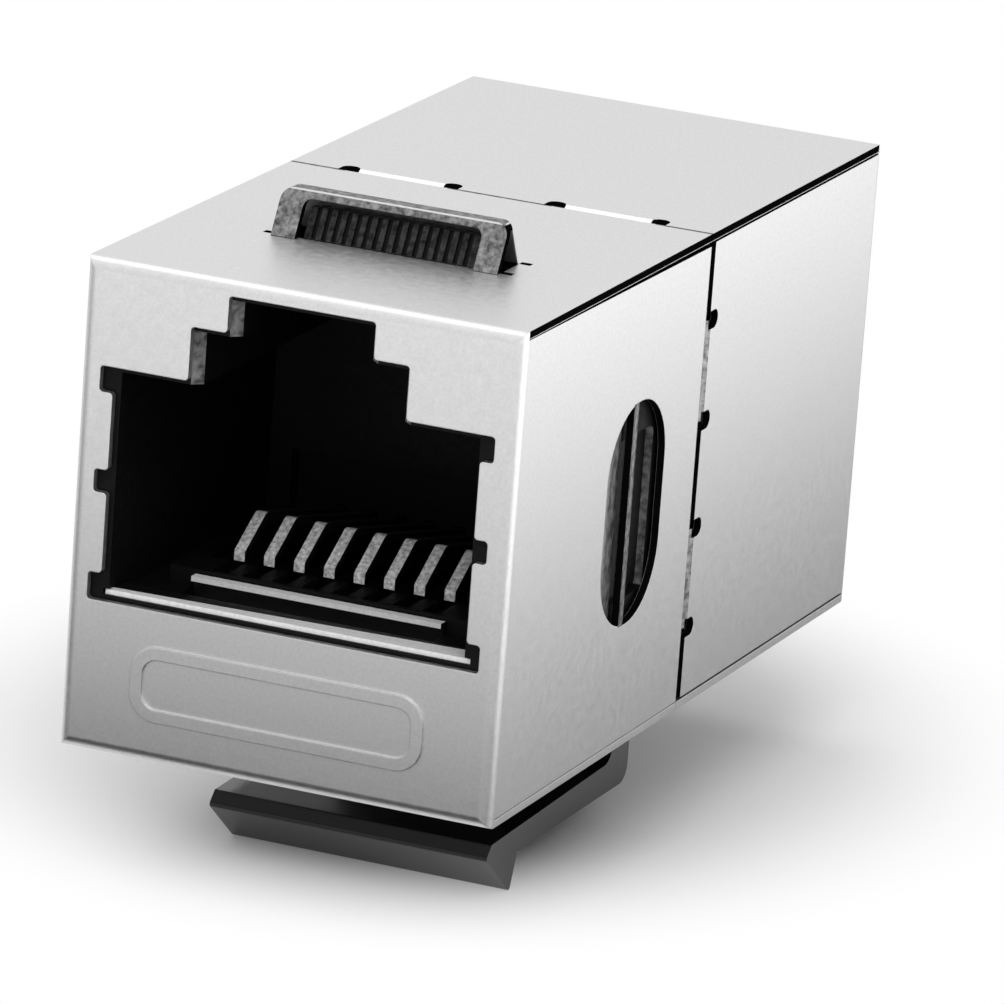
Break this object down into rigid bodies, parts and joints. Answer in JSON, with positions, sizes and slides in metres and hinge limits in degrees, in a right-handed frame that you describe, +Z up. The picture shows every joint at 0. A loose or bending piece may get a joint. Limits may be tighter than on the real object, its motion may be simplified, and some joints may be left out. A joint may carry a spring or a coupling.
{
  "type": "rj45 inline coupler",
  "caption": "Shielded snap-in coupler with a stepped modular socket at each end, a sheet-metal hook on top and a plastic spring latch underneath.",
  "frame": {"origin": "centre of the front face of the metal shell", "axes": "+Y into the shell towards the rear port, +Z up towards the hook, +X to the right seen from the front port"},
  "size_m": [0.0144, 0.0301, 0.0217],
  "materials": {
    "shield": "nickel-plated steel strip, satin",
    "spring_strip": "bright plated spring strip",
    "housing": "black moulded polyester",
    "latch": "black polished moulding",
    "contact": "plated bronze spring wire",
    "board": "glass-epoxy circuit board"
  },
  "bodies": {
    "root": {"circuit_board": "board", "front_contact_1": "contact", "front_contact_2": "contact", "front_contact_3": "contact", "front_contact_4": "contact", "front_contact_5": "contact", "front_contact_6": "contact", "front_contact_7": "contact", "front_contact_8": "contact", "front_contact_carrier": "housing", "front_ground_strip": "spring_strip", "front_housing": "housing", "front_shield": "shield", "keystone_latch": "latch", "rear_contact_1": "contact", "rear_contact_2": "contact", "rear_contact_3": "contact", "rear_contact_4": "contact", "rear_contact_5": "contact", "rear_contact_6": "contact", "rear_contact_7": "contact", "rear_contact_8": "contact", "rear_contact_carrier": "housing", "rear_ground_strip": "spring_strip", "rear_housing": "housing", "rear_shield": "shield"}
  },
  "joints": []
}
